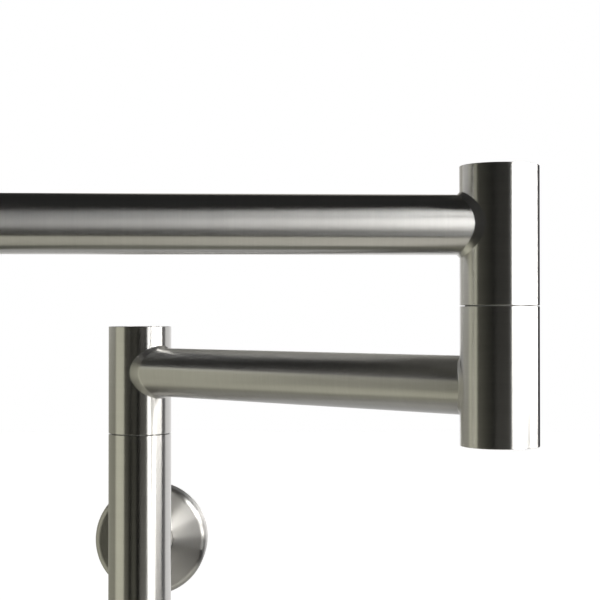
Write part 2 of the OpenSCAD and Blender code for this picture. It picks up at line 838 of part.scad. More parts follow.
module spout_nipple() {
  color(bright) on_spout_valve() translate([0, 0, -spout_low]) difference() {
    union() {
      bore(nipple_d, 0, nipple_len - face_fit);
      bore(tube_bore - 2 * seat_fit, -nipple_reach, -face_fit);
      bore(nipple_d, -face_fit, 0);
    }
    bore(nipple_way_d, -nipple_reach, nipple_len, over, over);
    translate([0, 0, -nipple_seal_place - groove_h / 2]) difference() {
      cylinder(d = tube_bore + over, h = groove_h);
      cylinder(d = tube_bore - 2 * groove_depth, h = groove_h);
    }
  }
}

module spout_nipple_seal() {
  color(rubbery) on_spout_valve() translate([0, 0, -spout_low - nipple_seal_place])
    seal(tube_bore - 2 * groove_depth, seal_d - seat_fit);
}

// Spout and aerator, measured down from the spout body's end
module on_outlet() {
  on_spout_valve() translate([0, 0, outlet_rise - outer_z]) children();
}

module spout_tube() {
  color(brushed) on_outlet() translate([0, 0, aerator_rim]) ring(tube_d, tube_bore, spout_len);
}

module aerator_shell() {
  color(bright) on_outlet() difference() {
    union() {
      bar(tube_d, aerator_rim - face_fit, edge_break);
      bore(tube_bore - 2 * seat_fit, aerator_rim - over, aerator_rim + aerator_len);
    }
    bore(aerator_lip, 0, aerator_lip_h, over, over);
    bore(aerator_bore, aerator_lip_h, aerator_rim + aerator_len, 0, over);
  }
}

module aerator_insert() {
  color(plastic_white) on_outlet() translate([0, 0, aerator_lip_h + face_fit])
    pierced_disc(aerator_bore - 2 * seat_fit, insert_h, insert_hole_d, insert_pitch);
}

module aerator_screen() {
  color(bright) on_outlet() translate([0, 0, aerator_lip_h + insert_h + 2 * face_fit])
    pierced_disc(aerator_bore - 2 * seat_fit, screen_h, screen_hole_d, screen_pitch);
}

module aerator_washer() {
  color(rubbery) on_outlet() translate([0, 0, aerator_rim + aerator_len + face_fit])
    ring(tube_bore - 2 * seat_fit, outlet_washer_bore, outlet_washer_h);
}

// Spout handle
module spout_valve_stem() { color(brassy) on_spout_valve() valve_stem(); }
module spout_stem_seal() { color(rubbery) on_spout_valve() stem_seal(); }
module spout_turning_disc() { color(ceramic_white) on_spout_valve() turning_disc(); }
module spout_handle_hub() { color(brushed) on_spout_valve() handle_hub(spout_lever_turn); }
module spout_handle_lever() { color(brushed) on_spout_valve() handle_lever(spout_lever_turn); }
module spout_handle_screw() { color(bright) on_spout_valve() handle_screw(); }
module spout_handle_cap() { color(brushed) on_spout_valve() handle_cap(); }

mounting_plate();
plate_grub_screws();
wall_flange();
flange_seal();
wall_stub();
inlet_washer();
inlet_strainer();
stub_weld();
wall_body();
wall_cartridge();
wall_fixed_disc();
wall_valve_seals();
wall_bonnet();
wall_swivel_spigot();
wall_swivel_seals();
wall_slip_ring();
wall_thrust_washer();
wall_retaining_ring();
wall_valve_stem();
wall_stem_seal();
wall_turning_disc();
wall_handle_hub();
wall_handle_lever();
wall_handle_screw();
wall_handle_cap();
inner_arm_tube();
inner_arm_wall_socket();
inner_arm_elbow_socket();
inner_arm_welds();
inner_arm_end_plugs();
elbow_swivel_spigot();
elbow_swivel_seals();
elbow_slip_ring();
elbow_thrust_washer();
elbow_retaining_ring();
outer_arm_tube();
outer_arm_elbow_socket();
outer_arm_spout_socket();
outer_arm_welds();
outer_arm_end_plug();
spout_cartridge();
spout_fixed_disc();
spout_valve_seals();
spout_bonnet();
spout_nipple();
spout_nipple_seal();
spout_tube();
aerator_shell();
aerator_insert();
aerator_screen();
aerator_washer();
spout_valve_stem();
spout_stem_seal();
spout_turning_disc();
spout_handle_hub();
spout_handle_lever();
spout_handle_screw();
spout_handle_cap();
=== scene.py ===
import bpy
import bmesh
import json
import math
from mathutils import Matrix, Vector


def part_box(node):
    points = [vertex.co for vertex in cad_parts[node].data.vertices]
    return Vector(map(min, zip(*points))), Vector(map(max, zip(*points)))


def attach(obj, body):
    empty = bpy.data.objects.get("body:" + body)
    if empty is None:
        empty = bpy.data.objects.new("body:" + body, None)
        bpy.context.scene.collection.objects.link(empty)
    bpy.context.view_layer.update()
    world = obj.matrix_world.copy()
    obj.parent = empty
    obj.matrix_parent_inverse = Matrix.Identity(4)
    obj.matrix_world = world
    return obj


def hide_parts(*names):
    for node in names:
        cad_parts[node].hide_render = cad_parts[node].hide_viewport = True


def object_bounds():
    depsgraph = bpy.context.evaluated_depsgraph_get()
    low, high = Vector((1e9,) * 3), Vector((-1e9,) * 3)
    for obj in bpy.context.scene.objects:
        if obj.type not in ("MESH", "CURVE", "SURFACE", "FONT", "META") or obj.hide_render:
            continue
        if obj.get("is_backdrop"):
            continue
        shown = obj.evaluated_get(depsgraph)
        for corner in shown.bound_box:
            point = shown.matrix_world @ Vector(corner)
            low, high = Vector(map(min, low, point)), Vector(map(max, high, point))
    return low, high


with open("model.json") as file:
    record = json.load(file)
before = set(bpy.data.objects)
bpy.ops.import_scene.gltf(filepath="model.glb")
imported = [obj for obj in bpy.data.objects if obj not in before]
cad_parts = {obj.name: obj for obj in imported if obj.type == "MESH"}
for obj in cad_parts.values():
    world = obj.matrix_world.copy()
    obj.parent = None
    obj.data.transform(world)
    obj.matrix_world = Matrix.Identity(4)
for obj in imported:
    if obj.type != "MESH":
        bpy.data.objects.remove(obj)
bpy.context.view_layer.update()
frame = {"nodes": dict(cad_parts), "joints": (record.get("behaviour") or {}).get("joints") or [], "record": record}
print("pot filler: frame loaded")

scene = bpy.context.scene
jointPlace = {joint["name"]: Vector(joint["pos_m"]) for joint in frame["joints"]}


def sizeOf(node):
    low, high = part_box(node)
    return high - low


def middleOf(node):
    low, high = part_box(node)
    return (low + high) / 2


# Places of the axes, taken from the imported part
wallAxis = jointPlace["wall_swivel"].copy()
elbowAxis = jointPlace["elbow_swivel"].copy()
spoutAxis = jointPlace["spout_handle_turn"].copy()
innerHeight = middleOf("inner_arm_tube").z
outerHeight = middleOf("outer_arm_tube").z
innerRun = Vector((elbowAxis.x - wallAxis.x, elbowAxis.y - wallAxis.y, 0))
outerRun = Vector((spoutAxis.x - elbowAxis.x, spoutAxis.y - elbowAxis.y, 0))
bodyRadius = sizeOf("outer_arm_elbow_socket").x / 2
tubeRadius = sizeOf("inner_arm_tube").z / 2
origin = Vector((0, 0, 0))
upright = Vector((0, 0, 1))
toWall = Vector((0, 1, 0))
sideways = Vector((1, 0, 0))

meshLook = {"merge": 1e-7, "gridMerge": 1e-6, "thinEdge": 1e-8, "sharpAngle": 40, "normalWeight": 100}


# Node helpers, for materials and geometry alike
def addNode(tree, kind, values=None, **settings):
    node = tree.nodes.new(kind)
    for key, value in settings.items():
        setattr(node, key, value)
    for key, value in (values or {}).items():
        if isinstance(value, bpy.types.NodeSocket):
            tree.links.new(value, node.inputs[key])
        else:
            node.inputs[key].default_value = value
    return node


def maths(tree, operation, first, second=0.0, third=0.0):
    values = {0: first, 1: second, 2: third}
    return addNode(tree, "ShaderNodeMath", values, operation=operation).outputs[0]


def times(tree, first, second):
    return maths(tree, "MULTIPLY", first, second)


def plus(tree, first, second):
    return maths(tree, "ADD", first, second)


def minus(tree, first, second):
    return maths(tree, "SUBTRACT", first, second)


def divided(tree, first, second):
    return maths(tree, "DIVIDE", first, second)


def vectorOf(tree, x, y, z=0.0):
    return addNode(tree, "ShaderNodeCombineXYZ", {0: x, 1: y, 2: z}).outputs[0]


def partsOf(tree, vector):
    return addNode(tree, "ShaderNodeSeparateXYZ", {0: vector}).outputs


def vectorMaths(tree, operation, first, second=None, scale=None):
    values = {0: first}
    if second is not None:
        values[1] = second
    if scale is not None:
        values["Scale"] = scale
    return addNode(tree, "ShaderNodeVectorMath", values, operation=operation).outputs["Vector"]


def geometryTree(name, inputs):
    tree = bpy.data.node_groups.new(name, "GeometryNodeTree")
    for label, kind in inputs:
        tree.interface.new_socket(label, in_out="INPUT", socket_type="NodeSocket" + kind)
    tree.interface.new_socket("Material", in_out="INPUT", socket_type="NodeSocketMaterial")
    tree.interface.new_socket("Geometry", in_out="OUTPUT", socket_type="NodeSocketGeometry")
    return tree, tree.nodes.new("NodeGroupInput").outputs


def endTree(tree, geometry, material):
    smooth = addNode(tree, "GeometryNodeSetShadeSmooth", {"Geometry": geometry})
    real = addNode(tree, "GeometryNodeRealizeInstances", {"Geometry": smooth.outputs[0]})
    painted = addNode(tree, "GeometryNodeSetMaterial", {
        "Geometry": real.outputs[0], "Material": material})
    addNode(tree, "NodeGroupOutput", {"Geometry": painted.outputs[0]})


def turnOutwards(mesh):
    shell = bmesh.new()
    shell.from_mesh(mesh)
    bmesh.ops.remove_doubles(shell, verts=shell.verts, dist=meshLook["merge"])
    bmesh.ops.recalc_face_normals(shell, faces=shell.faces)
    shell.to_mesh(mesh)
    shell.free()
    for face in mesh.polygons:
        face.use_smooth = True


def settle(holder):
    # The evaluated result becomes the object's own plain mesh, with nothing live left on it
    depsgraph = bpy.context.evaluated_depsgraph_get()
    depsgraph.update()
    mesh = bpy.data.meshes.new_from_object(
        holder.evaluated_get(depsgraph), preserve_all_data_layers=True, depsgraph=depsgraph)
    holder.modifiers.clear()
    holder.data = mesh
    return mesh


def evenNormals(holder):
    # Large faces stay true beside the small rounded edges, and real corners stay sharp
    holder.data.set_sharp_from_angle(angle=math.radians(meshLook["sharpAngle"]))
    even = holder.modifiers.new("evenNormals", "WEIGHTED_NORMAL")
    even.weight = meshLook["normalWeight"]
    even.keep_sharp = True
    settle(holder)


def emptyHolder(name):
    holder = bpy.data.objects.new(name, bpy.data.meshes.new(name))
    scene.collection.objects.link(holder)
    return holder


def grow(name, tree, settings, material, place):
    holder = emptyHolder(name)
    modifier = holder.modifiers.new("grow", "NODES")
    modifier.node_group = tree
    keys = {item.name: item.identifier for item in tree.interface.items_tree if item.in_out == "INPUT"}
    for label, value in settings.items():
        modifier[keys[label]] = value
    modifier[keys["Material"]] = material
    mesh = settle(holder)
    turnOutwards(mesh)
    evenNormals(holder)
    holder.data.transform(place)
    holder.data.name = name
    return holder


def standing(at, height):
    return Matrix.Translation(Vector((at.x, at.y, height)))


def along(at, run, height):
    return standing(at, height) @ Matrix.Rotation(math.atan2(run.y, run.x), 4, "Z")


def hand(piece, body, slot, *nodes):
    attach(piece, body)
    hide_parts(*nodes)
    return piece


# Materials
brushedLook = {
    "colour": (0.60, 0.59, 0.57),
    "roughness": 0.30,
    "anisotropy": 1.0,
    "streaksPerMetre": 1300,
    "roundPerMetre": 45,
    "broadRoundTimes": 2,
    "broadAlongTimes": 9,
    "fineShare": 0.6,
    "broadShare": 0.4,
    "colourSwing": 0.10,
    "roughnessSwing": 0.02,
    "bump": 0.10,
    "bumpDepth": 0.00005,
}


def startMaterial(name):
    material = bpy.data.materials.new(name)
    material.use_nodes = True
    tree = material.node_tree
    tree.nodes.clear()
    shader = tree.nodes.new("ShaderNodeBsdfPrincipled")
    addNode(tree, "ShaderNodeOutputMaterial", {"Surface": shader.outputs[0]})
    return material, tree, shader


def stretched(tree, vector, roundScale, alongScale):
    scale = (roundScale, roundScale, alongScale)
    return addNode(tree, "ShaderNodeMapping", {"Vector": vector, "Scale": scale}).outputs[0]


def noise(tree, vector, scale, detail, roughness=0.5):
    values = {"Vector": vector, "Scale": scale, "Detail": detail, "Roughness": roughness}
    return addNode(tree, "ShaderNodeTexNoise", values).outputs[0]


def steelMaterial(name, axis, centre, look):
    # Lines run round the axis, so the gloss spreads along it and stays crisp round it
    material, tree, shader = startMaterial(name)
    axis = axis.normalized()
    seen = tree.nodes.new("ShaderNodeTexCoord").outputs["Object"]
    local = vectorMaths(tree, "SUBTRACT", seen, tuple(centre))
    groove = vectorMaths(tree, "CROSS_PRODUCT", tuple(axis), local)
    groove = addNode(tree, "ShaderNodeVectorTransform", {"Vector": groove}, vector_type="VECTOR",
                     convert_from="OBJECT", convert_to="WORLD").outputs[0]
    facing = tree.nodes.new("ShaderNodeNewGeometry").outputs["Normal"]
    tangent = vectorMaths(tree, "NORMALIZE", vectorMaths(tree, "CROSS_PRODUCT", facing, groove))
    # Pattern space: Z runs along the axis
    turn = axis.rotation_difference(upright).to_euler()
    laid = addNode(tree, "ShaderNodeMapping", {"Vector": local, "Rotation": turn}).outputs[0]
    fine = look["streaksPerMetre"]
    slow = look["roundPerMetre"]
    lines = stretched(tree, laid, slow, fine)
    bands = stretched(tree, laid, slow / look["broadRoundTimes"], fine / look["broadAlongTimes"])
    fineNoise = noise(tree, lines, scale=1.0, detail=3.0, roughness=0.65)
    broadNoise = noise(tree, bands, scale=1.0, detail=2.0)
    mixed = plus(tree, times(tree, fineNoise, look["fineShare"]), times(tree, broadNoise, look["broadShare"]))
    swing = minus(tree, mixed, 0.5)
    bright = maths(tree, "MULTIPLY_ADD", swing, look["colourSwing"] * 2, 1.0)
    colour = vectorMaths(tree, "SCALE", look["colour"], scale=bright)
    tree.links.new(colour, shader.inputs["Base Color"])
    rough = maths(tree, "MULTIPLY_ADD", swing, look["roughnessSwing"] * 2, look["roughness"])
    tree.links.new(rough, shader.inputs["Roughness"])
    bump = addNode(tree, "ShaderNodeBump", {
        "Height": fineNoise, "Strength": look["bump"], "Distance": look["bumpDepth"]})
    tree.links.new(bump.outputs[0], shader.inputs["Normal"])
    tree.links.new(tangent, shader.inputs["Tangent"])
    shader.inputs["Metallic"].default_value = 1.0
    shader.inputs["Anisotropic"].default_value = look["anisotropy"]
    return material


turnedLook = dict(brushedLook, colour=(0.66, 0.655, 0.64), roughness=0.24, anisotropy=0.6,
                  streaksPerMetre=2600, colourSwing=0.05, roughnessSwing=0.04, bump=0.06)
weldedLook = dict(brushedLook, roughness=0.32, anisotropy=0.4,
                  colourSwing=0.05, roughnessSwing=0.03, bump=0.05)
darkLook = dict(turnedLook, colour=(0.10, 0.10, 0.105), roughness=0.36)
brassLook = dict(turnedLook, colour=(0.70, 0.52, 0.24), roughness=0.26)
innerStart = Vector((wallAxis.x, wallAxis.y, innerHeight))
outerStart = Vector((elbowAxis.x, elbowAxis.y, outerHeight))

steelWallBody = steelMaterial("brushedWallBody", upright, wallAxis, brushedLook)
steelElbow = steelMaterial("brushedElbow", upright, elbowAxis, brushedLook)
steelSpout = steelMaterial("brushedSpout", upright, spoutAxis, brushedLook)
steelStub = steelMaterial("brushedStub", toWall, origin, brushedLook)
steelInnerArm = steelMaterial("brushedInnerArm", innerRun, innerStart, brushedLook)
steelOuterArm = steelMaterial("brushedOuterArm", outerRun, outerStart, brushedLook)
steelWallLever = steelMaterial("brushedWallLever", sideways, middleOf("wall_handle_lever"), brushedLook)
steelSpoutLever = steelMaterial("brushedSpoutLever", outerRun, middleOf("spout_handle_lever"), brushedLook)
innerWelds = steelMaterial("polishedInnerWelds", innerRun, innerStart, weldedLook)
outerWelds = steelMaterial("polishedOuterWelds", outerRun, outerStart, weldedLook)
stubWelds = steelMaterial("polishedStubWeld", toWall, origin, weldedLook)
turnedWall = steelMaterial("turnedWall", upright, wallAxis, turnedLook)
turnedElbow = steelMaterial("turnedElbow", upright, elbowAxis, turnedLook)
turnedSpout = steelMaterial("turnedSpout", upright, spoutAxis, turnedLook)
turnedStub = steelMaterial("turnedStub", toWall, origin, turnedLook)
darkSteel = steelMaterial("darkSteel", upright, origin, darkLook)
brassWall = steelMaterial("brassWall", upright, wallAxis, brassLook)
brassSpout = steelMaterial("brassSpout", upright, spoutAxis, brassLook)

mouldedLook = {"roughnessSwing": 0.1, "bump": 0.15, "bumpDepth": 0.0001}


def mouldedMaterial(name, colour, roughness, grainPerMetre, swing):
    material, tree, shader = startMaterial(name)
    seen = tree.nodes.new("ShaderNodeTexCoord").outputs["Object"]
    grain = noise(tree, seen, scale=grainPerMetre, detail=3.0)
    bright = maths(tree, "MULTIPLY_ADD", minus(tree, grain, 0.5), swing * 2, 1.0)
    tree.links.new(vectorMaths(tree, "SCALE", colour, scale=bright), shader.inputs["Base Color"])
    spread = mouldedLook["roughnessSwing"]
    rough = maths(tree, "MULTIPLY_ADD", grain, spread * 2, roughness - spread)
    tree.links.new(rough, shader.inputs["Roughness"])
    bump = addNode(tree, "ShaderNodeBump", {
        "Height": grain, "Strength": mouldedLook["bump"], "Distance": mouldedLook["bumpDepth"]})
    tree.links.new(bump.outputs[0], shader.inputs["Normal"])
    return material


sealRubber = mouldedMaterial(
    "sealRubber", (0.03, 0.03, 0.03), roughness=0.6, grainPerMetre=1500, swing=0.2)
valveCeramic = mouldedMaterial(
    "valveCeramic", (0.80, 0.79, 0.76), roughness=0.2, grainPerMetre=900, swing=0.02)
whitePlastic = mouldedMaterial(
    "whitePlastic", (0.72, 0.72, 0.70), roughness=0.42, grainPerMetre=1200, swing=0.04)

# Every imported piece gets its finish; the pieces made below then hide some of them
steelOf = {
    "wall_body": steelWallBody, "wall_bonnet": steelWallBody,
    "wall_handle_hub": steelWallBody, "wall_handle_cap": steelWallBody,
    "inner_arm_wall_socket": steelWallBody, "inner_arm_end_plugs": steelWallBody,
    "inner_arm_elbow_socket": steelElbow, "outer_arm_elbow_socket": steelElbow,
    "outer_arm_end_plug": steelElbow,
    "outer_arm_spout_socket": steelSpout, "spout_bonnet": steelSpout, "spout_tube": steelSpout,
    "spout_handle_hub": steelSpout, "spout_handle_cap": steelSpout,
    "wall_stub": steelStub, "wall_flange": steelStub, "stub_weld": stubWelds,
    "inner_arm_tube": steelInnerArm, "inner_arm_welds": innerWelds,
    "outer_arm_tube": steelOuterArm, "outer_arm_welds": outerWelds,
    "wall_handle_lever": steelWallLever, "spout_handle_lever": steelSpoutLever,
}
otherFinish = {"dark_steel": darkSteel, "seal_rubber": sealRubber, "valve_ceramic": valveCeramic,
               "white_plastic": whitePlastic}
slotOf = {part["node"]: part["material_slot"] for part in frame["record"]["subparts"]}


def finishOf(node, slot):
    nearWall = node.startswith(("wall_", "inner_arm_wall"))
    if slot == "brushed_steel":
        return steelOf[node]
    if slot == "valve_brass":
        return brassWall if nearWall else brassSpout
    if slot != "turned_steel":
        return otherFinish[slot]
    if node in ("mounting_plate", "inlet_strainer"):
        return turnedStub
    if nearWall:
        return turnedWall
    return turnedElbow if node.startswith("elbow_") else turnedSpout


for node, piece in frame["nodes"].items():
    piece.data.materials.clear()
    piece.data.materials.append(finishOf(node, slotOf[node]))
print("pot filler: finishes made")


# Upright bodies and hubs: a wall with rounded edges, turned round its axis
ringTree, ask = geometryTree("turnedBody", [
    ("Radius", "Float"), ("Bore Radius", "Float"), ("Height", "Float"), ("Edge Radius", "Float"),
    ("Steps Round", "Int"), ("Steps in Edge", "Int")])
middleRadius = times(ringTree, plus(ringTree, ask["Radius"], ask["Bore Radius"]), 0.5)
circle = addNode(ringTree, "GeometryNodeCurvePrimitiveCircle", {
    "Resolution": ask["Steps Round"], "Radius": middleRadius})
wall = addNode(ringTree, "GeometryNodeCurvePrimitiveQuadrilateral", {
    "Width": minus(ringTree, ask["Radius"], ask["Bore Radius"]), "Height": ask["Height"]})
rounded = addNode(ringTree, "GeometryNodeFilletCurve", {
    "Curve": wall.outputs[0], "Count": ask["Steps in Edge"], "Radius": ask["Edge Radius"]}, mode="POLY")
swept = addNode(ringTree, "GeometryNodeCurveToMesh", {
    "Curve": circle.outputs[0], "Profile Curve": rounded.outputs[0]})
endTree(ringTree, swept.outputs[0], ask["Material"])

bodyLook = {"edgeRadius": 0.00022, "stepsRound": 192, "stepsInEdge": 4}
plugRadius = sizeOf("outer_arm_end_plug").x / 2
bonnetRadius = sizeOf("wall_bonnet").x / 2
capRadius = sizeOf("wall_handle_cap").x / 2
spoutBore = sizeOf("aerator_washer").x / 2


def turnedBody(name, node, body, at, bore, material, radius=bodyRadius):
    low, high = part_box(node)
    piece = grow(name, ringTree, {
        "Radius": radius, "Bore Radius": bore, "Height": high.z - low.z,
        "Edge Radius": bodyLook["edgeRadius"], "Steps Round": bodyLook["stepsRound"],
        "Steps in Edge": bodyLook["stepsInEdge"],
    }, material, standing(at, (low.z + high.z) / 2))
    return hand(piece, body, "brushed_steel", node)


turnedBody("wallBodyTurned", "wall_body", "wall_unit", wallAxis, bonnetRadius, steelWallBody)
turnedBody("innerWallSocketTurned", "inner_arm_wall_socket", "inner_arm", wallAxis, plugRadius, steelWallBody)
turnedBody("elbowLowerTurned", "inner_arm_elbow_socket", "inner_arm", elbowAxis, plugRadius, steelElbow)
turnedBody("elbowUpperTurned", "outer_arm_elbow_socket", "outer_arm", elbowAxis, plugRadius, steelElbow)
turnedBody("spoutBodyTurned", "outer_arm_spout_socket", "outer_arm", spoutAxis, bonnetRadius, steelSpout)
turnedBody("spoutDropTurned", "spout_tube", "outer_arm", spoutAxis, spoutBore, steelSpout, tubeRadius)
turnedBody("wallHubTurned", "wall_handle_hub", "wall_handle", wallAxis, capRadius, steelWallBody)
turnedBody("spoutHubTurned", "spout_handle_hub", "spout_handle", spoutAxis, capRadius, steelSpout)
print("pot filler: turned bodies made")


# Arm tubes, coped to the round bodies at both ends
def copeOf(tree, bodyRadius, radius, angleCos):
    across = times(tree, radius, angleCos)
    squares = minus(tree, times(tree, bodyRadius, bodyRadius), times(tree, across, across))
    return maths(tree, "SQRT", squares)


def gridOf(tree, around, rows):
    # A flat grid, from -0.5 to 0.5: its place in X counts round the tube, its place in Y counts the rows
    grid = addNode(tree, "GeometryNodeMeshGrid", {
        "Size X": 1.0, "Size Y": 1.0,
        "Vertices X": plus(tree, around, 1.0), "Vertices Y": plus(tree, rows, 1.0)})
    place = partsOf(tree, tree.nodes.new("GeometryNodeInputPosition").outputs[0])
    angle = times(tree, plus(tree, place[0], 0.5), math.tau)
    row = maths(tree, "ROUND", times(tree, plus(tree, place[1], 0.5), rows))
    return grid.outputs[0], maths(tree, "COSINE", angle), maths(tree, "SINE", angle), row


def between(tree, low, value, high):
    return times(tree, maths(tree, "GREATER_THAN", value, low), maths(tree, "LESS_THAN", value, high))


def closed(tree, grid, place):
    moved = addNode(tree, "GeometryNodeSetPosition", {"Geometry": grid, "Position": place})
    values = {"Geometry": moved.outputs[0], "Distance": meshLook["gridMerge"]}
    return addNode(tree, "GeometryNodeMergeByDistance", values).outputs[0]


tubeTree, ask = geometryTree("copedTube", [
    ("Radius", "Float"), ("Wall", "Float"), ("Body Radius", "Float"), ("Length", "Float"),
    ("Steps Round", "Int")])
# Rows 0 and 1 are outside, at the near and the far end; rows 2 and 3 come back inside; row 4 closes the loop
grid, cosine, sine, row = gridOf(tubeTree, ask["Steps Round"], 4.0)
inside = between(tubeTree, 1.5, row, 3.5)
farEnd = between(tubeTree, 0.5, row, 2.5)
radius = minus(tubeTree, ask["Radius"], times(tubeTree, inside, ask["Wall"]))
cope = copeOf(tubeTree, ask["Body Radius"], radius, cosine)
clearRun = minus(tubeTree, ask["Length"], times(tubeTree, cope, 2.0))
place = vectorOf(tubeTree, plus(tubeTree, cope, times(tubeTree, farEnd, clearRun)),
                 times(tubeTree, radius, cosine), times(tubeTree, radius, sine))
endTree(tubeTree, closed(tubeTree, grid, place), ask["Material"])

tubeLook = {"wall": 0.0015, "stepsRound": 144}


def armTube(name, body, at, run, height, material, node):
    piece = grow(name, tubeTree, {
        "Radius": tubeRadius, "Wall": tubeLook["wall"], "Body Radius": bodyRadius,
        "Length": run.length, "Steps Round": tubeLook["stepsRound"],
    }, material, along(at, run, height))
    return hand(piece, body, "brushed_steel", node)


armTube("innerArmTubeCoped", "inner_arm", wallAxis, innerRun, innerHeight, steelInnerArm, "inner_arm_tube")
armTube("outerArmTubeCoped", "outer_arm", elbowAxis, outerRun, outerHeight, steelOuterArm, "outer_arm_tube")
print("pot filler: arm tubes made")

# Welds: their toes stay one leg away from the joint's corner, with a polished hollow between them
weldTree, ask = geometryTree("polishedWeld", [
    ("Radius", "Float"), ("Body Radius", "Float"), ("Tube Leg", "Float"), ("Body Leg", "Float"),
    ("Top Leg", "Float"), ("Tube Pull", "Float"), ("Body Pull", "Float"),
    ("Steps Round", "Int"), ("Steps in Hollow", "Int")])
rows = plus(weldTree, ask["Steps in Hollow"], 2.0)
grid, cosine, sine, row = gridOf(weldTree, ask["Steps Round"], rows)
across = times(weldTree, ask["Radius"], cosine)
upward = times(weldTree, ask["Radius"], sine)
cope = copeOf(weldTree, ask["Body Radius"], ask["Radius"], cosine)
corner = vectorOf(weldTree, cope, across, upward)


def legOf(side):
    return plus(weldTree, times(weldTree, side, times(weldTree, cosine, cosine)),
                times(weldTree, ask["Top Leg"], times(weldTree, sine, sine)))


tubeLeg = legOf(ask["Tube Leg"])
bodyLeg = legOf(ask["Body Leg"])
# The way out from the tube, on the body's face as if it were rolled out flat
rolledRise = divided(weldTree, times(weldTree, upward, ask["Body Radius"]), cope)
away = partsOf(weldTree, vectorMaths(weldTree, "NORMALIZE", vectorOf(weldTree, across, rolledRise)))
begin = maths(weldTree, "ARCSINE", divided(weldTree, across, ask["Body Radius"]))
turn = plus(weldTree, begin, divided(weldTree, times(weldTree, bodyLeg, away[0]), ask["Body Radius"]))
turnCos = maths(weldTree, "COSINE", turn)
turnSin = maths(weldTree, "SINE", turn)
tubeToe = vectorMaths(weldTree, "ADD", corner, vectorOf(weldTree, tubeLeg, 0.0))
bodyToe = vectorOf(
    weldTree, times(weldTree, ask["Body Radius"], turnCos), times(weldTree, ask["Body Radius"], turnSin),
    plus(weldTree, upward, times(weldTree, bodyLeg, away[1])))
lean = vectorOf(
    weldTree, times(weldTree, away[0], turnSin), minus(weldTree, 0.0, times(weldTree, away[0], turnCos)),
    minus(weldTree, 0.0, away[1]))
fromTubeToe = vectorOf(weldTree, times(weldTree, tubeLeg, ask["Tube Pull"]), 0.0)
fromBodyToe = vectorMaths(weldTree, "SCALE", lean, scale=times(weldTree, bodyLeg, ask["Body Pull"]))
tubePull = vectorMaths(weldTree, "SUBTRACT", tubeToe, fromTubeToe)
bodyPull = vectorMaths(weldTree, "ADD", bodyToe, fromBodyToe)
beforeLast = maths(weldTree, "LESS_THAN", row, minus(weldTree, rows, 0.5))
share = times(weldTree, beforeLast, divided(weldTree, row, ask["Steps in Hollow"]))


def mixOf(tree, share, first, second):
    # Sockets 4 and 5 are the two vectors
    return addNode(tree, "ShaderNodeMix", {0: share, 4: first, 5: second}, data_type="VECTOR").outputs[1]


# The hollow is a cubic curve from toe to toe, mixed step by step
nearTube = mixOf(weldTree, share, tubeToe, tubePull)
nearMiddle = mixOf(weldTree, share, tubePull, bodyPull)
nearBody = mixOf(weldTree, share, bodyPull, bodyToe)
tubeSide = mixOf(weldTree, share, nearTube, nearMiddle)
bodySide = mixOf(weldTree, share, nearMiddle, nearBody)
hollow = mixOf(weldTree, share, tubeSide, bodySide)
atCorner = between(weldTree, plus(weldTree, ask["Steps in Hollow"], 0.5), row,
                   plus(weldTree, ask["Steps in Hollow"], 1.5))
endTree(weldTree, closed(weldTree, grid, mixOf(weldTree, atCorner, hollow, corner)), ask["Material"])

# A run's welded ends have one tube leg each, its first end first; the stub has only one weld
weldLook = {
    "tubeLegs": {
        "inner_arm_welds": (0.0030, 0.0012), "outer_arm_welds": (0.0018, 0.0018), "stub_weld": (0.0024,)},
    "bodyLeg": 0.0031, "topLeg": 0.0013, "tubePull": 0.15, "bodyPull": 0.06,
    "stepsRound": 144, "stepsInHollow": 14,
}


def joinInto(first, second):
    # One mesh from two, with the normals of both kept
    with bpy.context.temp_override(active_object=first, selected_editable_objects=[first, second]):
        bpy.ops.object.join()


def polishedWeld(name, body, at, run, height, material, node):
    ends = [along(at, run, height), along(at + run, -run, height)]
    made = [grow(name, weldTree, {
        "Radius": tubeRadius, "Body Radius": bodyRadius, "Tube Leg": leg,
        "Body Leg": weldLook["bodyLeg"], "Top Leg": weldLook["topLeg"],
        "Tube Pull": weldLook["tubePull"], "Body Pull": weldLook["bodyPull"],
        "Steps Round": weldLook["stepsRound"], "Steps in Hollow": weldLook["stepsInHollow"],
    }, material, end) for end, leg in zip(ends, weldLook["tubeLegs"][node])]
    for other in made[1:]:
        joinInto(made[0], other)
    return hand(made[0], body, "brushed_steel", node)


polishedWeld("innerArmWeldsPolished", "inner_arm", wallAxis, innerRun, innerHeight,
             innerWelds, "inner_arm_welds")
polishedWeld("outerArmWeldsPolished", "outer_arm", elbowAxis, outerRun, outerHeight,
             outerWelds, "outer_arm_welds")
polishedWeld("stubWeldPolished", "wall_unit", wallAxis, toWall, 0.0, stubWelds, "stub_weld")
print("pot filler: welds made")


# Turned trim: profiles of radius and height, spun round an axis
def arc(centre, radius, start, end, steps):
    angles = [start + (end - start) * i / steps for i in range(steps + 1)]
    return [(centre[0] + radius * math.cos(angle), centre[1] + radius * math.sin(angle)) for angle in angles]


def spun(name, profile, steps, material, place, ringed):
    shell = bmesh.new()
    rings = []
    for spin in range(steps):
        angle = math.tau * spin / steps
        rings.append([shell.verts.new((r * math.cos(angle), r * math.sin(angle), h)) for r, h in profile])
    count = len(profile)
    for spin in range(steps):
        here, after = rings[spin], rings[(spin + 1) % steps]
        for i in range(count if ringed else count - 1):
            shell.faces.new((here[i], after[i], after[(i + 1) % count], here[(i + 1) % count]))
    bmesh.ops.remove_doubles(shell, verts=shell.verts, dist=meshLook["merge"])
    bmesh.ops.dissolve_degenerate(shell, edges=shell.edges, dist=meshLook["thinEdge"])
    holder = emptyHolder(name)
    shell.to_mesh(holder.data)
    shell.free()
    turnOutwards(holder.data)
    holder.data.materials.append(material)
    evenNormals(holder)
    holder.data.transform(place)
    return holder


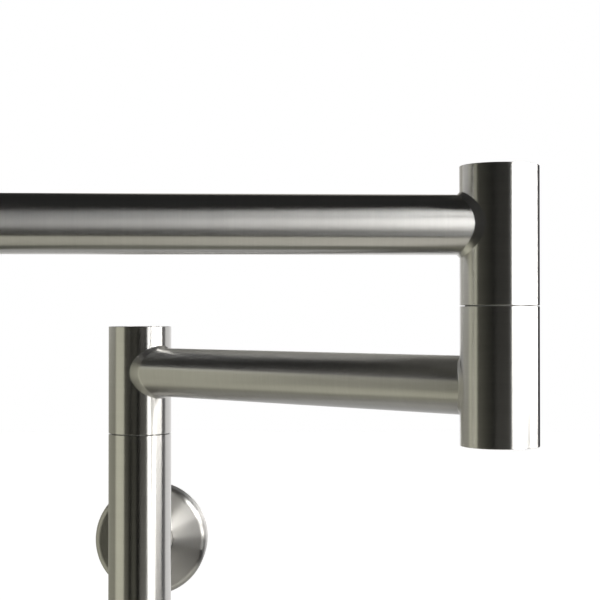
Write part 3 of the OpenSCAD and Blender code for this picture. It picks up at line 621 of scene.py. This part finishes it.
quarter = math.pi / 2
fromWall = Matrix.Rotation(quarter, 4, "X")  # turns +Z to -Y, away from the wall
flangeLook = {
    "wall": 0.002, "round": 0.0035, "lip": 0.0006, "gapToStub": 0.00015,
    "stepsRound": 192, "stepsInRound": 10, "stepsInRim": 3, "stepsInLip": 4,
}


def wallFlange():
    size = sizeOf("wall_flange")
    outer, height, hole = size.x / 2, size.y, tubeRadius + flangeLook["gapToStub"]
    wall, rounding, lip = flangeLook["wall"], flangeLook["round"], flangeLook["lip"]
    profile = [(outer - wall, 0), (outer - lip / 2, 0)]
    profile += arc((outer - lip, lip), lip, -quarter / 2, 0, flangeLook["stepsInRim"])
    profile += arc((outer - rounding, height - rounding), rounding, 0, quarter, flangeLook["stepsInRound"])
    profile += arc((hole + lip, height - lip), lip, quarter, 2 * quarter, flangeLook["stepsInLip"])
    profile += [(hole, height - wall), (outer - rounding, height - wall), (outer - wall, height - rounding)]
    piece = spun("wallFlangeDished", profile, flangeLook["stepsRound"], steelStub, fromWall, True)
    return hand(piece, "wall_unit", "brushed_steel", "wall_flange")


wallFlange()
leverLook = {"tipSteps": 14, "stepsRound": 64, "neck": 0.0006}


def lever(name, node, body, at, run, material):
    low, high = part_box(node)
    radius = (high.z - low.z) / 2
    inner = bodyRadius - leverLook["neck"]
    heading = run.normalized()
    reach = max((Vector((x, y, 0)) - Vector((at.x, at.y, 0))).dot(heading)
                for x in (low.x, high.x) for y in (low.y, high.y))
    reach -= abs(heading.y) * radius * 2  # the box of a slanted pin is a little longer
    profile = [(0, inner), (radius, inner)]
    profile += arc((0, reach - radius), radius, 0, quarter, leverLook["tipSteps"])
    place = along(at, run, (low.z + high.z) / 2) @ Matrix.Rotation(quarter, 4, "Y")
    piece = spun(name, profile, leverLook["stepsRound"], material, place, False)
    return hand(piece, body, "brushed_steel", node)


lever("wallLeverPin", "wall_handle_lever", "wall_handle", wallAxis, sideways, steelWallLever)
lever("spoutLeverPin", "spout_handle_lever", "spout_handle", spoutAxis, outerRun, steelSpoutLever)
print("pot filler: flange and levers made")

# Studio: cards that only the metal sees, two soft lamps, a pale floor and white all round
studio = {
    "front": 0.003, "top": 0.025, "back": 1.0, "under": 0.5, "plain": 0.85,
    "behindFrom": (0.05, 0.20), "aboveFrom": (0.18, 0.34), "underFrom": (0.35, 0.75),
    "nearFade": (0.08, 0.20),
    "floorZ": -0.55, "floorSize": 14.0, "floorColour": (0.82, 0.82, 0.81, 1.0), "floorRoughness": 0.9,
    "floorLift": 0.35,
}
# Side cards: colour, place in X, reach in Y, reach in Z
sideCards = {
    "whiteFront": ((4.4, 4.4, 4.35), 0.42, (-0.70, -0.57), (-0.05, 0.33)),
    "whiteNear": ((5.0, 5.0, 4.95), 0.42, (-0.57, -0.46), (-0.20, 0.30)),
    "whiteMiddle": ((13.0, 13.0, 12.9), 0.42, (-0.46, -0.24), (0.14, 0.44)),
    "whiteRear": ((6.8, 6.7, 6.5), 0.42, (-0.24, -0.04), (0.08, 0.225)),
    "whiteFar": ((6.0, 5.9, 5.7), 1.30, (-1.60, -0.62), (-0.15, 0.12)),
    "darkFlag": ((0.12, 0.12, 0.125), 0.42, (-0.03, 0.11), (-0.40, 0.72)),
    "greenLeft": ((0.76, 0.755, 0.615), -0.40, (-0.368, -0.05), (-0.45, 0.25)),
    "greenFar": ((0.33, 0.325, 0.265), -0.40, (-0.05, 1.30), (-0.45, 0.17)),
}
# Upright cards that face the front: colour, place in Y, reach in X, reach in Z
rearCards = {
    "darkBehindElbow": ((0.01, 0.01, 0.014), -0.05, (0.20, 0.32), (-0.10, 0.30)),
    "darkBesideSpout": ((0.012, 0.012, 0.012), -0.20, (-0.104, -0.066), (-0.40, 0.15)),
    "paleWall": ((0.50, 0.49, 0.45), 0.02, (-0.04, 0.18), (0.18, 0.34)),
}
# Low cards: colour, height, reach in X, reach in Y
lowCards = {
    "greenTable": ((0.47, 0.465, 0.375), -0.35, (-0.9, -0.06), (-0.66, -0.20)),
    "paleTable": ((0.9, 0.88, 0.80), -0.35, (0.04, 0.42), (-0.62, -0.20)),
    "darkTable": ((0.2, 0.2, 0.17), -0.35, (-0.9, 0.42), (-0.20, 0.03)),
}


def glowMaterial(name, colour):
    material = bpy.data.materials.new(name)
    material.use_nodes = True
    tree = material.node_tree
    tree.nodes.clear()
    # A pose may bring metal close to a card, so its light only comes in some way off
    gap = tree.nodes.new("ShaderNodeLightPath").outputs["Ray Length"]
    low, high = studio["nearFade"]
    fade = addNode(tree, "ShaderNodeMapRange", {"Value": gap, "From Min": low, "From Max": high}).outputs[0]
    glow = addNode(tree, "ShaderNodeEmission", {"Color": (*colour, 1.0), "Strength": fade})
    addNode(tree, "ShaderNodeOutputMaterial", {"Surface": glow.outputs[0]})
    return material


def card(name, colour, corners):
    piece = emptyHolder(name)
    piece.data.from_pydata(corners, [], [(0, 1, 2, 3)])
    piece.data.materials.append(glowMaterial(name, colour))
    piece.visible_camera = False
    piece.visible_diffuse = False
    piece.visible_shadow = False
    piece.visible_transmission = False
    piece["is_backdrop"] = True


for name, (colour, x, (near, far), (low, high)) in sideCards.items():
    card(name, colour, [(x, near, low), (x, far, low), (x, far, high), (x, near, high)])
for name, (colour, y, (left, right), (low, high)) in rearCards.items():
    card(name, colour, [(left, y, low), (right, y, low), (right, y, high), (left, y, high)])
for name, (colour, z, (left, right), (near, far)) in lowCards.items():
    card(name, colour, [(left, near, z), (right, near, z), (right, far, z), (left, far, z)])

world = bpy.data.worlds.new("studioWorld")
scene.world = world
world.use_nodes = True
# Each ray asks the world itself, so metal and floor get their own light
world.cycles.sampling_method = "NONE"
tree = world.node_tree
tree.nodes.clear()
path = tree.nodes.new("ShaderNodeLightPath").outputs
direction = partsOf(tree, tree.nodes.new("ShaderNodeTexCoord").outputs["Generated"])
white = (1, 1, 1, 1)


def ramp(value, low, high):
    values = {"Value": value, "From Min": low, "From Max": high}
    return addNode(tree, "ShaderNodeMapRange", values, interpolation_type="SMOOTHSTEP").outputs[0]


def blended(share, first, second):
    return maths(tree, "MULTIPLY_ADD", share, minus(tree, second, first), first)


def background(strength):
    return addNode(tree, "ShaderNodeBackground", {"Color": white, "Strength": strength}).outputs[0]


behind = ramp(direction[1], *studio["behindFrom"])
above = ramp(direction[2], *studio["aboveFrom"])
under = ramp(minus(tree, 0.0, direction[2]), *studio["underFrom"])
rearLevel = blended(under, studio["back"], studio["under"])
level = blended(behind, studio["front"], rearLevel)
metal = background(blended(above, level, studio["top"]))
lit = addNode(tree, "ShaderNodeMixShader", {
    0: path["Is Glossy Ray"], 1: background(studio["plain"]), 2: metal})
straight = maths(tree, "MAXIMUM", path["Is Camera Ray"], path["Is Transmission Ray"])
final = addNode(tree, "ShaderNodeMixShader", {0: straight, 1: lit.outputs[0], 2: background(1.0)})
addNode(tree, "ShaderNodeOutputWorld", {"Surface": final.outputs[0]})

# The camera sees the floor a little brighter than the lamps make it, so it goes over into the white
floorMaterial, tree, shader = startMaterial("paleFloor")
shader.inputs["Base Color"].default_value = studio["floorColour"]
shader.inputs["Roughness"].default_value = studio["floorRoughness"]
seen = tree.nodes.new("ShaderNodeLightPath").outputs["Is Camera Ray"]
lift = addNode(tree, "ShaderNodeEmission", {
    "Color": white, "Strength": times(tree, seen, studio["floorLift"])})
both = addNode(tree, "ShaderNodeAddShader", {0: shader.outputs[0], 1: lift.outputs[0]})
output = next(node for node in tree.nodes if node.type == "OUTPUT_MATERIAL")
tree.links.new(both.outputs[0], output.inputs["Surface"])
half = studio["floorSize"] / 2
floor = emptyHolder("paleFloor")
corners = ((-half, -half), (half, -half), (half, half), (-half, half))
floorCorners = [(x, y, studio["floorZ"]) for x, y in corners]
floor.data.from_pydata(floorCorners, [], [(0, 1, 2, 3)])
floor.data.materials.append(floorMaterial)
floor.visible_glossy = False
floor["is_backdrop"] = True

# Lamps: place, width, power
lamps = {"keyLamp": ((0.9, -1.2, 1.6), 1.2, 14.0), "fillLamp": ((-1.4, -0.8, 1.0), 1.2, 6.0)}
lampAim = Vector((0.05, -0.15, 0.08))
for name, (place, width, power) in lamps.items():
    lamp = bpy.data.lights.new(name, "AREA")
    lamp.size = width
    lamp.energy = power
    holder = bpy.data.objects.new(name, lamp)
    scene.collection.objects.link(holder)
    holder.location = place
    holder.rotation_euler = (lampAim - Vector(place)).to_track_quat("-Z", "Y").to_euler()
    holder.visible_camera = False
    holder.visible_glossy = False
print("pot filler: studio made")

# The camera stands where the photograph was taken
cameraLook = {
    "lens": 79.48, "left": 0.0839, "front": 0.55706, "below": 0.00412, "tilt": 90.677, "clipStart": 0.01}
seam = (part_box("inner_arm_elbow_socket")[1].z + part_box("outer_arm_elbow_socket")[0].z) / 2
camera = bpy.data.objects.new("camera", bpy.data.cameras.new("camera"))
scene.collection.objects.link(camera)
camera.data.lens = cameraLook["lens"]
camera.data.clip_start = cameraLook["clipStart"]
camera.location = (
    elbowAxis.x - cameraLook["left"], elbowAxis.y - cameraLook["front"], seam - cameraLook["below"])
camera.rotation_euler = (math.radians(cameraLook["tilt"]), 0, 0)
scene.camera = camera
scene.view_settings.view_transform = "Standard"

bpy.context.view_layer.update()
low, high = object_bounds()
print("pot filler: done")
